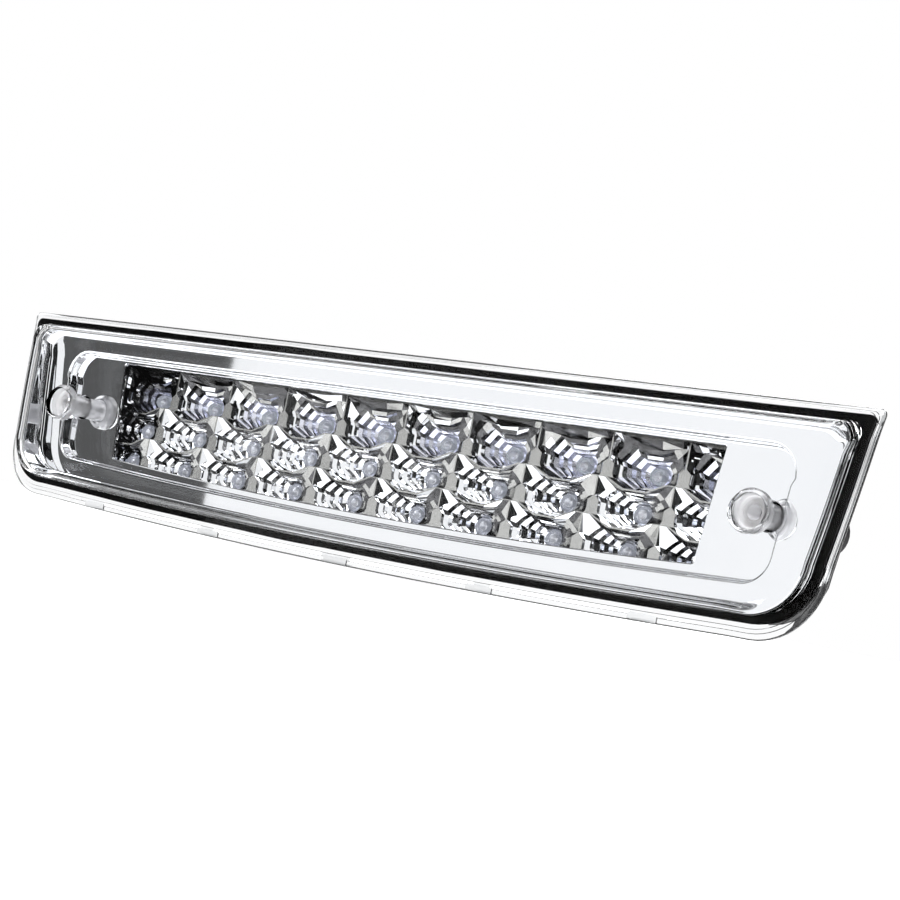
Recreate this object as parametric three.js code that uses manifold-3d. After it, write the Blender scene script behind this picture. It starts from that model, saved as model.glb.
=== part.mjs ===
// Third brake light: a clear lens bonded to a black tub, with a chrome bezel, a faceted
// reflector and thirty round lamps on one board inside. Millimetres, +X across the lamp,
// +Y into the lamp (light leaves along -Y), +Z up.
import * as THREE from 'three';
import Module from 'manifold-3d';

const wasm = await Module();
wasm.setup();

// Driving dimensions, millimetres.
const OVERALL_WIDTH = 350;
const OVERALL_HEIGHT = 68.6;
const TOP_Z = 24.1;
const SIDE_LEAN = 0.138;
const SIDE_BULGE = 0.5;
const CORNER_RADIUS = 20;
const TOP_CORNER_RADIUS = 1.6;
const BOTTOM_ARCH_RISE = 3.98;
// Steps inside the band are this much as wide along the top and bottom as at the ends.
const EDGE_SHARE = 0.5;

// The lens, its flange and the rim behind them come forward towards the bottom.
// Their depths below are at the top edge of the lamp.
const FACE_TILT = 0.065;
const LENS_FRONT_Y = -11.2635;
const LENS_SKIN = 2.2;
const FLANGE_FRONT_Y = -6.2;
const FLANGE_BACK_Y = -3.6;
const GROOVE_FLOOR_Y = -4.9;
const BAND_OUTER = 1.9;
const BAND_WIDTH = 3.0;
const BOTTOM_LEDGE = 2.1;
const PAD_WIDTH = 9.7;
const PAD_PITCH = 58;
const PAD_COUNT = 5;
const PAD_HEIGHT = 0.25;

const BOSS_FROM_END = 31.05;
const BOSS_ABOVE_MIDDLE = 2.2;
const CUP_RADIUS = 6.2;
const CUP_WALL = 0.95;
const CUP_WEB = 3.85;
const TUBE_RADIUS = 3.8;
const SCREW_HOLE_RADIUS = 2.2;
const TUBE_END_Y = 8;
const TUBE_TO_REFLECTOR = 3.65;

const BEZEL_FLOOR_Y = -3.6;
const BEZEL_SKIN = 1.3;
const BEZEL_RIM_Y = -6.8;
const POCKET_PAST_BOSS = 6.65;
const POCKET_FROM_TOP = 13.2;
const POCKET_FROM_BOTTOM = 18.3;
const POCKET_RADIUS = 8;
const POCKET_LEAN = 0.09;
const POCKET_FLOOR_Y = 0;
const WINDOW_FROM_BOSS = 17.75;
const WINDOW_FROM_TOP = 14.5;
const WINDOW_FROM_BOTTOM = 20.3;
const WINDOW_LEAN = 0.106;
const WINDOW_ARCH_RISE = 3.34;
const NOTCH_RADIUS = 6.6;

const COLUMNS = 10;
const ROWS = 3;
const REFLECTOR_EDGE = 1.5;
const REFLECTOR_FROM_TOP = 12.1;
const REFLECTOR_FROM_BOTTOM = 14.35;
const TOP_ROW_DROP = 12.6;
const LAST_ROW_EXTRA = 0.3;
const ROW_STEP = 4;
const FRONT_ROW_RIM_Y = 2;
const CUP_DEPTH = 7.4;
const BLOCK_DEPTH = 9.2;
const RIDGE = 0.5;
const FLAT_HALF_WIDTH = 2.0;
const FLAT_HALF_HEIGHT = 2.8;
const LAMP_RADIUS = 2.5;
const LAMP_LENGTH = 7;
const LAMP_TIP_DEPTH = 4.5;
const LAMP_CLEARANCE = 0.5;
const LEG_SPACING = 2.54;
const LEG_WIDTH = 0.5;

const LEG_LENGTH = 1;
const BOARD_THICKNESS = 1.6;
const BOARD_END_SETBACK = 4;
const BOARD_EDGE_SETBACK = 0.4;
const BOARD_SCREW_INSET = 3.8;
const BOARD_HOLE_RADIUS = 1.8;
const SCREW_SHANK_RADIUS = 1.4;
const SCREW_HEAD_RADIUS = 2.7;
const SCREW_HEAD_HEIGHT = 1.7;
const SCREW_LENGTH = 5;

const BOARD_TO_BACK_WALL = 4.4;
const HOUSING_SKIN = 2;
const HOUSING_FLANGE_BACK_Y = -0.9;
// The ring and the seal slope in at the two ends, so they stay behind the black bead.
const RING_SLANT = 1.6;
const SEAL_SLANT = 1.4;
const SEAL_THICKNESS = 3.3;
const TUB_TAPER = 16.5;
const TUB_EDGE_TAPER = 1.5;
const RIB_HALF_LENGTH = 15;
const RIB_SPACING = 21;
const POST_RADIUS = 7;
const POST_FRONT_Y = 5.6;
const POST_PROUD = 1.5;
const SOCKET_RADIUS = 5.5;
const RING_SECTION = 0.72;

const CONNECTOR_WIDTH = 21;
const CONNECTOR_HEIGHT = 12.5;
const CONNECTOR_WALL = 1.8;
const CONNECTOR_REACH = 13;
const CONNECTOR_FLOOR = 2.5;
const TERMINAL_SPACING = 7;
const TERMINAL_WIDTH = 2.8;
const TERMINAL_THICKNESS = 0.8;
const TERMINAL_REACH = 10.5;
const VENT_X = 62;
const VENT_RADIUS = 6;

const FIT_GAP = 0.2;
const OVERSHOOT = 1;
const ROUND = 28;

const sealBackY = HOUSING_FLANGE_BACK_Y + SEAL_THICKNESS;
const tubInset = 5.6;
const sealTopZ = TOP_Z - BAND_OUTER - (BAND_WIDTH + 1.1 + EDGE_SHARE * tubInset) / 2;
const bottomZ = TOP_Z - OVERALL_HEIGHT;

// Everything below follows from the sizes above.
const bossX = OVERALL_WIDTH / 2 - BOSS_FROM_END;
const bossZ = (TOP_Z + bottomZ) / 2 + BOSS_ABOVE_MIDDLE;
const bossFrontY = LENS_FRONT_Y - FACE_TILT * (TOP_Z - bossZ);
const cupSeatY = bossFrontY + CUP_WEB;
const pocketHalfWidth = bossX + POCKET_PAST_BOSS;
const pocketTopZ = TOP_Z - POCKET_FROM_TOP;
const pocketEndBottomZ = bottomZ + POCKET_FROM_BOTTOM;
const windowHalfWidth = bossX - WINDOW_FROM_BOSS;
const windowTopZ = TOP_Z - WINDOW_FROM_TOP;
const windowEndBottomZ = bottomZ + WINDOW_FROM_BOTTOM;
const reflectorHalfWidth = bossX - TUBE_RADIUS - TUBE_TO_REFLECTOR;
const reflectorTopZ = TOP_Z - REFLECTOR_FROM_TOP;
const reflectorBottomZ = bottomZ + REFLECTOR_FROM_BOTTOM;
const columnPitch = (2 * (reflectorHalfWidth - REFLECTOR_EDGE)) / COLUMNS;
const bottomArch = BOTTOM_ARCH_RISE / (OVERALL_WIDTH / 2) ** 2;
const windowArch = WINDOW_ARCH_RISE / windowHalfWidth ** 2;
const topRowZ = reflectorTopZ - TOP_ROW_DROP;
const rowPitch = (topRowZ - reflectorBottomZ - LAST_ROW_EXTRA) / (ROWS - 0.5);
const lastLampBaseY = FRONT_ROW_RIM_Y + (ROWS - 1) * ROW_STEP + LAMP_TIP_DEPTH + LAMP_LENGTH;
const boardFrontY = lastLampBaseY + LEG_LENGTH;
const boardBackY = boardFrontY + BOARD_THICKNESS;
const boardHalfWidth = reflectorHalfWidth - BOARD_END_SETBACK;
const boardTopZ = reflectorTopZ - BOARD_EDGE_SETBACK;
const boardBottomZ = reflectorBottomZ + BOARD_EDGE_SETBACK;
const housingInnerBackY = boardBackY + BOARD_TO_BACK_WALL;
const housingBackY = housingInnerBackY + HOUSING_SKIN;
const postBackY = housingBackY + POST_PROUD;
const connectorBackY = housingBackY + CONNECTOR_REACH;
const connectorFloorY = housingBackY + CONNECTOR_FLOOR;
const terminalBackY = housingBackY + TERMINAL_REACH;
const connectorZ = bossZ;
const ribOuterX = 0.73 * bossX;
const ribInnerX = ribOuterX - RIB_SPACING;

// ---------------------------------------------------------------- solids

function toManifold(points, triangles) {
  let volume = 0;
  for (const [a, b, c] of triangles) {
    const p = points[a];
    const q = points[b];
    const r = points[c];
    volume += p[0] * (q[1] * r[2] - q[2] * r[1])
      - p[1] * (q[0] * r[2] - q[2] * r[0])
      + p[2] * (q[0] * r[1] - q[1] * r[0]);
  }
  const outward = volume > 0 ? triangles : triangles.map(([a, b, c]) => [a, c, b]);
  return new wasm.Manifold(new wasm.Mesh({
    numProp: 3,
    vertProperties: new Float32Array(points.flat()),
    triVerts: new Uint32Array(outward.flat()),
  }));
}

function bandBetween(a, b, count) {
  const triangles = [];
  for (let i = 0; i < count; i += 1) {
    const j = (i + 1) % count;
    triangles.push([a + i, a + j, b + j], [a + i, b + j, b + i]);
  }
  return triangles;
}

// A solid through rings of equal point count, closed with a fan at each end.
function loft(rings) {
  const count = rings[0].length;
  const points = rings.flat();
  const triangles = [];
  for (let k = 0; k + 1 < rings.length; k += 1) {
    triangles.push(...bandBetween(k * count, (k + 1) * count, count));
  }
  for (const [start, flip] of [[0, true], [(rings.length - 1) * count, false]]) {
    const centre = [0, 1, 2].map(
      (axis) => points.slice(start, start + count).reduce((sum, p) => sum + p[axis], 0) / count,
    );
    const hub = points.length;
    points.push(centre);
    for (let i = 0; i < count; i += 1) {
      const j = (i + 1) % count;
      triangles.push(flip ? [start + j, start + i, hub] : [start + i, start + j, hub]);
    }
  }
  return toManifold(points, triangles);
}

// A closed frame: the last ring joins back to the first.
function frameLoft(rings) {
  const count = rings[0].length;
  const triangles = [];
  rings.forEach((ring, k) => {
    triangles.push(...bandBetween(k * count, ((k + 1) % rings.length) * count, count));
  });
  return toManifold(rings.flat(), triangles);
}

function circle(x, z, radius, y, count = ROUND) {
  const ring = [];
  for (let i = 0; i < count; i += 1) {
    const angle = (2 * Math.PI * i) / count;
    ring.push([x + radius * Math.cos(angle), y, z + radius * Math.sin(angle)]);
  }
  return ring;
}

// A turned solid about a line along Y: stations are [radius, y].
function turned(x, z, stations, count = ROUND) {
  return loft(stations.map(([radius, y]) => circle(x, z, radius, y, count)));
}

function box(x0, x1, y0, y1, z0, z1) {
  const ring = (y) => [[x0, y, z0], [x1, y, z0], [x1, y, z1], [x0, y, z1]];
  return loft([ring(y0), ring(y1)]);
}

function tubeAlong(path, radius, count = 10) {
  const curve = new THREE.CatmullRomCurve3(path.map((p) => new THREE.Vector3(...p)));
  const steps = 10;
  const frames = curve.computeFrenetFrames(steps, false);
  const rings = [];
  for (let k = 0; k <= steps; k += 1) {
    const centre = curve.getPointAt(k / steps);
    const ring = [];
    for (let i = 0; i < count; i += 1) {
      const angle = (2 * Math.PI * i) / count;
      const p = centre.clone()
        .addScaledVector(frames.normals[k], radius * Math.cos(angle))
        .addScaledVector(frames.binormals[k], radius * Math.sin(angle));
      ring.push([p.x, p.y, p.z]);
    }
    rings.push(ring);
  }
  return loft(rings);
}

function unite(solids) {
  return solids.reduce((sum, next) => sum.add(next));
}

function arc(cx, cz, radius, from, to, steps) {
  const points = [];
  for (let i = 0; i <= steps; i += 1) {
    const angle = from + ((to - from) * i) / steps;
    points.push([cx + radius * Math.cos(angle), cz + radius * Math.sin(angle)]);
  }
  return points;
}

// Right half of a lamp-shaped outline from top centre to bottom centre, mirrored.
function wideOutline({ top, end, halfTop, lean, bulge, arch, topRadius, radius, centreBottom }) {
  const side = (z) => halfTop - lean * (top - z)
    + bulge * Math.sin((Math.PI * (top - z)) / (top - end));
  const right = arc(halfTop - topRadius, top - topRadius, topRadius, Math.PI / 2, 0, 3);
  const sideSteps = 5;
  const cornerZ = end + radius;
  for (let i = 1; i < sideSteps; i += 1) {
    const z = top - topRadius + ((cornerZ - top + topRadius) * i) / sideSteps;
    right.push([side(z), z]);
  }
  const cornerX = side(cornerZ) - radius;
  right.push(...arc(cornerX, cornerZ, radius, 0, -Math.PI / 2 + 0.05, 6));
  const bottomSteps = 7;
  for (let i = 1; i < bottomSteps; i += 1) {
    const x = cornerX * (1 - i / bottomSteps);
    right.push([x, centreBottom + arch * x * x]);
  }
  const left = right.map(([x, z]) => [-x, z]).reverse();
  return [...right, [0, centreBottom], ...left, [0, top]];
}

// The lamp outline moved in by s at the sides, t at the top and b at the bottom.
// share says how much of the face's tilt the outline takes, from 0 to 1.
function outline([s, t, b, y, share = 0]) {
  const halfTop = OVERALL_WIDTH / 2 - s;
  const centreBottom = bottomZ + b;
  const radius = Math.max(CORNER_RADIUS - 0.6 * s, 3);
  const cornerX = halfTop - SIDE_LEAN * OVERALL_HEIGHT - radius;
  return wideOutline({
    top: TOP_Z - t,
    end: centreBottom + bottomArch * cornerX * cornerX,
    halfTop,
    lean: SIDE_LEAN,
    bulge: SIDE_BULGE,
    arch: bottomArch,
    topRadius: TOP_CORNER_RADIUS + 0.35 * s,
    radius,
    centreBottom,
  }).map(([x, z]) => [x, y - share * FACE_TILT * (TOP_Z - z), z]);
}

function outlines(stations) {
  return stations.map(outline);
}

// Gives a whole solid the tilt of the lamp's face.
function tilted(solid, z0 = TOP_Z) {
  return solid.warp((point) => {
    point[1] -= FACE_TILT * (z0 - point[2]);
  });
}

function pocketOutline(grow, y) {
  const halfTop = pocketHalfWidth + grow;
  const end = pocketEndBottomZ - grow;
  const cornerX = halfTop - POCKET_RADIUS - 3;
  return wideOutline({
    top: pocketTopZ + grow,
    end,
    halfTop,
    lean: POCKET_LEAN,
    bulge: 0,
    arch: windowArch * 0.8,
    topRadius: POCKET_RADIUS + grow,
    radius: POCKET_RADIUS + grow,
    centreBottom: end - windowArch * 0.8 * cornerX * cornerX,
  }).map(([x, z]) => [x, y, z]);
}

function windowOutline(grow, y) {
  const halfTop = windowHalfWidth + grow;
  const end = windowEndBottomZ - grow;
  const radius = 0.8;
  const cornerX = halfTop - radius - 3;
  return wideOutline({
    top: windowTopZ + grow,
    end,
    halfTop,
    lean: WINDOW_LEAN,
    bulge: 0,
    arch: windowArch,
    topRadius: radius,
    radius,
    centreBottom: end - windowArch * cornerX * cornerX,
  }).map(([x, z]) => [x, y, z]);
}

// Band edges as insets [side, top, bottom].
const bandOut = [BAND_OUTER, BAND_OUTER, BAND_OUTER + BOTTOM_LEDGE];
const bandIn = bandOut.map((inset) => inset + BAND_WIDTH);
const inside = (extra, y, share = 0) => [
  bandIn[0] + extra,
  bandIn[1] + EDGE_SHARE * extra,
  bandIn[2] + EDGE_SHARE * extra,
  y,
  share,
];

// ---------------------------------------------------------------- lens

function lensShell() {
  const outer = loft(outlines([
    [0, 0, 0, FLANGE_BACK_Y],
    [0, 0, 0, FLANGE_FRONT_Y + 0.3],
    [0.3, 0.3, 0.3, FLANGE_FRONT_Y],
    inside(0, FLANGE_FRONT_Y),
    inside(0.5, FLANGE_FRONT_Y - 0.7),
    inside(1.3, LENS_FRONT_Y + 2.5),
    inside(2.1, LENS_FRONT_Y + 0.9),
    inside(3.6, LENS_FRONT_Y + 0.15),
    inside(5.6, LENS_FRONT_Y),
  ]));
  const inner = loft(outlines([
    inside(1.9, FLANGE_BACK_Y + OVERSHOOT),
    inside(1.9, FLANGE_FRONT_Y),
    inside(2.7, LENS_FRONT_Y + LENS_SKIN + 1.3),
    inside(4.2, LENS_FRONT_Y + LENS_SKIN + 0.25),
    inside(6.2, LENS_FRONT_Y + LENS_SKIN),
  ]));
  const groove = frameLoft(outlines([
    [...bandOut, GROOVE_FLOOR_Y],
    [...bandOut, FLANGE_BACK_Y + OVERSHOOT],
    inside(0, FLANGE_BACK_Y + OVERSHOOT),
    inside(0, GROOVE_FLOOR_Y),
  ]));
  return outer.subtract(inner).subtract(groove);
}

function gripPads() {
  const pads = [];
  for (let i = 0; i < PAD_COUNT; i += 1) {
    const x = (i - (PAD_COUNT - 1) / 2) * PAD_PITCH;
    const z = bottomZ + bottomArch * x * x;
    pads.push(box(
      x - PAD_WIDTH / 2,
      x + PAD_WIDTH / 2,
      FLANGE_FRONT_Y - PAD_HEIGHT,
      FLANGE_FRONT_Y + 0.4,
      z + 0.9,
      z + BAND_OUTER + BOTTOM_LEDGE - 0.5,
    ));
  }
  return unite(pads);
}

function lens() {
  let body = tilted(lensShell().add(gripPads()));
  for (const x of [-bossX, bossX]) {
    body = body.subtract(turned(x, bossZ, [
      [CUP_RADIUS + FIT_GAP / 4, bossFrontY - OVERSHOOT],
      [CUP_RADIUS + FIT_GAP / 4, cupSeatY],
    ]));
  }
  return body;
}

// Cup for the screw head, with a tube that runs back to the housing post.
function screwBoss(x) {
  const outer = turned(x, bossZ, [
    [CUP_RADIUS - 0.2, bossFrontY],
    [CUP_RADIUS, bossFrontY + 0.2],
    [CUP_RADIUS, cupSeatY + 1.3],
    [TUBE_RADIUS + 0.5, cupSeatY + 2.3],
    [TUBE_RADIUS, cupSeatY + 3.2],
    [TUBE_RADIUS - 0.2, TUBE_END_Y],
  ]);
  const mouth = turned(x, bossZ, [
    [CUP_RADIUS - CUP_WALL + 0.3, bossFrontY - OVERSHOOT],
    [CUP_RADIUS - CUP_WALL, bossFrontY + 0.4],
    [CUP_RADIUS - CUP_WALL - 0.6, cupSeatY],
  ]);
  const hole = turned(x, bossZ, [
    [SCREW_HOLE_RADIUS, cupSeatY - OVERSHOOT],
    [SCREW_HOLE_RADIUS, TUBE_END_Y + OVERSHOOT],
  ]);
  return outer.subtract(mouth).subtract(hole);
}

function sealantBead() {
  const gap = FIT_GAP / 4;
  return tilted(frameLoft(outlines([
    [...bandOut.map((inset) => inset + gap), GROOVE_FLOOR_Y + gap],
    [...bandOut.map((inset) => inset + gap), FLANGE_BACK_Y],
    inside(-gap, FLANGE_BACK_Y),
    inside(-gap, GROOVE_FLOOR_Y + gap),
  ])));
}

// ---------------------------------------------------------------- bezel

function bezel() {
  const lipBackY = BEZEL_FLOOR_Y + BEZEL_SKIN;
  const lipFrontY = FLANGE_BACK_Y + FIT_GAP / 2;
  let body = loft(outlines([
    inside(0.4, lipBackY, 1),
    inside(0.4, lipFrontY, 1),
    inside(2.2, lipFrontY, 1),
    inside(2.5, BEZEL_RIM_Y + 0.8, 1),
    inside(2.9, BEZEL_RIM_Y, 1),
  ]));
  body = body.add(loft(outlines([
    inside(2.6, lipFrontY - 0.3, 1),
    inside(5, BEZEL_FLOOR_Y + BEZEL_SKIN, 0),
  ])));
  body = body.add(loft([
    pocketOutline(1.5, BEZEL_FLOOR_Y + 0.5),
    pocketOutline(1.5, POCKET_FLOOR_Y + BEZEL_SKIN),
  ]));
  for (const x of [-bossX, bossX]) {
    body = body.add(turned(x, bossZ, [
      [NOTCH_RADIUS + 1.4, BEZEL_FLOOR_Y + 0.5],
      [NOTCH_RADIUS + 1.4, POCKET_FLOOR_Y + BEZEL_SKIN],
    ]));
  }
  const rimWall = 0.8;
  const bowlAt = (extra, down) => inside(
    extra,
    BEZEL_RIM_Y + (BEZEL_FLOOR_Y - BEZEL_RIM_Y) * down,
    1 - down,
  );
  const bowl = loft(outlines([
    inside(2.9 + rimWall, BEZEL_RIM_Y - OVERSHOOT, 1),
    bowlAt(2.9 + rimWall, 0.1),
    bowlAt(4.1, 0.4),
    bowlAt(4.7, 0.7),
    bowlAt(5.4, 0.9),
    bowlAt(6.6, 1),
  ]));
  const pocket = loft([
    pocketOutline(1.2, BEZEL_FLOOR_Y - OVERSHOOT),
    pocketOutline(1.2, BEZEL_FLOOR_Y),
    pocketOutline(0.4, BEZEL_FLOOR_Y + 0.9),
    pocketOutline(0, POCKET_FLOOR_Y),
  ]);
  const opening = loft([
    windowOutline(0, POCKET_FLOOR_Y - OVERSHOOT),
    windowOutline(0, POCKET_FLOOR_Y + BEZEL_SKIN + OVERSHOOT),
  ]);
  body = body.subtract(bowl).subtract(pocket).subtract(opening);
  for (const x of [-bossX, bossX]) {
    body = body.subtract(turned(x, bossZ, [
      [NOTCH_RADIUS, BEZEL_FLOOR_Y - OVERSHOOT],
      [NOTCH_RADIUS - 0.3, POCKET_FLOOR_Y],
    ]));
    body = body.subtract(turned(x, bossZ, [
      [TUBE_RADIUS + 2 * FIT_GAP, POCKET_FLOOR_Y - OVERSHOOT],
      [TUBE_RADIUS + 2 * FIT_GAP, POCKET_FLOOR_Y + BEZEL_SKIN + OVERSHOOT],
    ]));
  }
  return body;
}

// ---------------------------------------------------------------- reflector and lamps

function lampCentres() {
  const centres = [];
  for (let row = 0; row < ROWS; row += 1) {
    for (let column = 0; column < COLUMNS; column += 1) {
      centres.push({
        row,
        column,
        x: (column - (COLUMNS - 1) / 2) * columnPitch,
        z: topRowZ - row * rowPitch,
        rimY: FRONT_ROW_RIM_Y + (ROWS - 1 - row) * ROW_STEP,
      });
    }
  }
  return centres;
}

// Mouth of one reflector cup about its lamp axis: tall shoulders reach up beside the flat
// of the row above, and the waist clears the six-sided flat beside the lamp.
function cupMouth(row) {
  const half = columnPitch / 2;
  const edge = half - RIDGE / 2;
  const waist = half - FLAT_HALF_WIDTH;
  const middle = rowPitch / 2 - RIDGE / 2;
  const shoulder = rowPitch - FLAT_HALF_HEIGHT - RIDGE / 2;
  const crown = TOP_ROW_DROP - 2;
  const top = row === 0
    ? [[0, crown - 1], [5, crown - 0.5], [waist - 0.5, crown], [edge, crown]]
    : [[0, middle], [5, middle], [waist - 0.5, shoulder], [edge, shoulder]];
  const right = [
    ...top,
    [edge, FLAT_HALF_HEIGHT],
    [waist, FLAT_HALF_HEIGHT - 1.3],
    [waist, 1.3 - FLAT_HALF_HEIGHT],
    [waist - 0.5, shoulder - rowPitch + RIDGE],
    [5, -middle],
    [0, -middle],
  ];
  const left = right.slice(1, -1).map(([x, z]) => [-x, z]).reverse();
  return [...right, ...left];
}

function cupCutter({ row, x, z, rimY }) {
  const mouth = cupMouth(row);
  const throat = LAMP_RADIUS + LAMP_CLEARANCE;
  const ring = (fraction, y) => mouth.map(([px, pz]) => {
    const reach = Math.hypot(px, pz);
    const scale = (throat + (reach - throat) * fraction) / reach;
    return [x + px * scale, y, z + pz * scale];
  });
  return loft([
    ring(1, FRONT_ROW_RIM_Y - OVERSHOOT),
    ring(1, rimY),
    ring(0.62, rimY + 0.42 * CUP_DEPTH),
    ring(0.3, rimY + 0.78 * CUP_DEPTH),
    ring(0, rimY + CUP_DEPTH),
    ring(0, boardFrontY),
  ]);
}

function reflectorArray() {
  const shoulder = rowPitch - FLAT_HALF_HEIGHT;
  const blocks = [];
  for (let row = 0; row < ROWS; row += 1) {
    const z = topRowZ - row * rowPitch;
    const rimY = FRONT_ROW_RIM_Y + (ROWS - 1 - row) * ROW_STEP;
    const top = row === 0 ? reflectorTopZ : z + shoulder;
    const bottom = row === ROWS - 1 ? reflectorBottomZ : z - rowPitch / 2;
    blocks.push(box(-reflectorHalfWidth, reflectorHalfWidth, rimY, rimY + BLOCK_DEPTH, bottom, top));
  }
  return unite(blocks).subtract(unite(lampCentres().map(cupCutter)));
}

function lamp({ x, z, rimY }) {
  const tipY = rimY + LAMP_TIP_DEPTH;
  const baseY = tipY + LAMP_LENGTH;
  const stations = [12, 38, 64, 90].map((degrees) => {
    const angle = THREE.MathUtils.degToRad(degrees);
    return [LAMP_RADIUS * Math.sin(angle), tipY + LAMP_RADIUS * (1 - Math.cos(angle))];
  });
  stations.push(
    [LAMP_RADIUS, baseY - 1.2],
    [LAMP_RADIUS + 0.3, baseY - 1.1],
    [LAMP_RADIUS + 0.3, baseY],
  );
  let body = turned(x, z, stations, 12);
  for (const side of [-1, 1]) {
    const legX = x + (side * LEG_SPACING) / 2;
    body = body.add(box(
      legX - LEG_WIDTH / 2,
      legX + LEG_WIDTH / 2,
      baseY - 0.6,
      boardFrontY - FIT_GAP / 4,
      z - LEG_WIDTH / 2,
      z + LEG_WIDTH / 2,
    ));
  }
  return body;
}

// ---------------------------------------------------------------- board and its parts

const screwX = boardHalfWidth - BOARD_SCREW_INSET;
const boardScrewPlaces = [
  [-screwX, boardTopZ - BOARD_SCREW_INSET],
  [screwX, boardTopZ - BOARD_SCREW_INSET],
  [-screwX, boardBottomZ + BOARD_SCREW_INSET],
  [screwX, boardBottomZ + BOARD_SCREW_INSET],
];

function circuitBoard() {
  let body = box(
    -boardHalfWidth,
    boardHalfWidth,
    boardFrontY,
    boardBackY,
    boardBottomZ,
    boardTopZ,
  );
  for (const [x, z] of boardScrewPlaces) {
    body = body.subtract(turned(x, z, [
      [BOARD_HOLE_RADIUS, boardFrontY - OVERSHOOT],
      [BOARD_HOLE_RADIUS, boardBackY + OVERSHOOT],
    ], 16));
  }
  return body;
}

function boardScrew([x, z]) {
  const headBackY = boardFrontY - FIT_GAP / 4;
  return turned(x, z, [
    [SCREW_HEAD_RADIUS * 0.7, headBackY - SCREW_HEAD_HEIGHT],
    [SCREW_HEAD_RADIUS, headBackY - SCREW_HEAD_HEIGHT * 0.6],
    [SCREW_HEAD_RADIUS, headBackY],
    [SCREW_SHANK_RADIUS, headBackY],
    [SCREW_SHANK_RADIUS, headBackY + SCREW_LENGTH - 0.6],
    [SCREW_SHANK_RADIUS * 0.5, headBackY + SCREW_LENGTH],
  ], 16);
}

function chip(x, z, width, height, thickness) {
  const y = boardBackY + FIT_GAP / 4;
  return box(x - width / 2, x + width / 2, y, y + thickness, z - height / 2, z + height / 2);
}

function capacitor() {
  const y = boardBackY + FIT_GAP / 4;
  return turned(38, 0, [[3.1, y], [3.1, y + 0.5], [2.9, y + 0.7], [3.1, y + 0.9], [3.1, y + 3]], 20);
}

// ---------------------------------------------------------------- housing

// How far the tub's top and bottom walls stand in from the outline.
function tubEdges(taper) {
  const share = Math.min(EDGE_SHARE, TUB_EDGE_TAPER / Math.max(taper, 1));
  return bandIn.slice(1).map((inset) => inset + EDGE_SHARE * tubInset + share * taper);
}

function housing() {
  const lipSeatY = BEZEL_FLOOR_Y + BEZEL_SKIN + FIT_GAP;
  const flange = bandOut.map((inset) => inset + 0.3);
  const tub = (taper, y) => [bandIn[0] + tubInset + taper, ...tubEdges(taper), y];
  const wall = 1.2 * HOUSING_SKIN;
  let body = loft(outlines([
    [...flange, FLANGE_BACK_Y + FIT_GAP / 4, 1],
    [flange[0] + RING_SLANT, flange[1] + 0.7, flange[2] + 0.7, HOUSING_FLANGE_BACK_Y],
    tub(0, HOUSING_FLANGE_BACK_Y),
    tub(1.2, POST_FRONT_Y),
    tub(TUB_TAPER - 2, housingBackY - 3),
    tub(TUB_TAPER - 1, housingBackY - 0.8),
    tub(TUB_TAPER, housingBackY),
  ]));
  body = body.subtract(loft(outlines([
    inside(0.15, FLANGE_BACK_Y - OVERSHOOT, 1),
    inside(0.15, lipSeatY, 1),
    inside(2.3, lipSeatY, 1),
    inside(2.4, lipSeatY),
    tub(wall, lipSeatY),
    tub(wall + 1.2, POST_FRONT_Y),
    tub(wall + TUB_TAPER - 2.4, housingInnerBackY - 2),
    tub(wall + TUB_TAPER - 1, housingInnerBackY),
  ])));
  for (const x of [-bossX, bossX]) {
    body = body.add(turned(x, bossZ, [[POST_RADIUS, POST_FRONT_Y], [POST_RADIUS, postBackY]]));
    body = body.subtract(turned(x, bossZ, [
      [SOCKET_RADIUS, POST_FRONT_Y - OVERSHOOT],
      [SOCKET_RADIUS, TUBE_END_Y + FIT_GAP],
    ]));
    body = body.subtract(turned(x, bossZ, [
      [SCREW_HOLE_RADIUS + FIT_GAP, TUBE_END_Y - OVERSHOOT],
      [SCREW_HOLE_RADIUS + FIT_GAP, postBackY + OVERSHOOT],
    ]));
  }
  for (const [x, z] of boardScrewPlaces) {
    const reach = housingInnerBackY + 0.5;
    body = body.add(turned(x, z, [[3.4, boardBackY + FIT_GAP / 4], [4, reach]], 16));
    body = body.subtract(turned(x, z, [
      [SCREW_SHANK_RADIUS + FIT_GAP / 4, boardBackY - OVERSHOOT],
      [SCREW_SHANK_RADIUS + FIT_GAP / 4, boardFrontY + SCREW_LENGTH + 0.3],
    ], 16));
  }
  for (const x of [-ribOuterX, -ribInnerX, ribInnerX, ribOuterX]) {
    body = body.add(box(
      x - 0.9,
      x + 0.9,
      housingBackY - 0.5,
      housingBackY + 1.6,
      bossZ - RIB_HALF_LENGTH,
      bossZ + RIB_HALF_LENGTH,
    ));
  }
  body = body.subtract(box(
    -CONNECTOR_WIDTH / 2 - FIT_GAP,
    CONNECTOR_WIDTH / 2 + FIT_GAP,
    housingInnerBackY - OVERSHOOT,
    housingBackY + OVERSHOOT,
    connectorZ - CONNECTOR_HEIGHT / 2 - FIT_GAP,
    connectorZ + CONNECTOR_HEIGHT / 2 + FIT_GAP,
  ));
  return body.subtract(turned(VENT_X, connectorZ, [
    [VENT_RADIUS * 0.5, housingInnerBackY - OVERSHOOT],
    [VENT_RADIUS * 0.5, housingBackY + OVERSHOOT],
  ]));
}

function rearSeal() {
  const frontY = HOUSING_FLANGE_BACK_Y + FIT_GAP / 4;
  const edges = bandOut.slice(1).map((inset) => inset + 1.1);
  const end = bandOut[0] + 0.4 + RING_SLANT;
  return frameLoft(outlines([
    [end, ...edges, frontY],
    [end + SEAL_SLANT, ...edges, sealBackY],
    inside(tubInset - FIT_GAP, sealBackY),
    inside(tubInset - FIT_GAP, frontY),
  ]));
}

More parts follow.
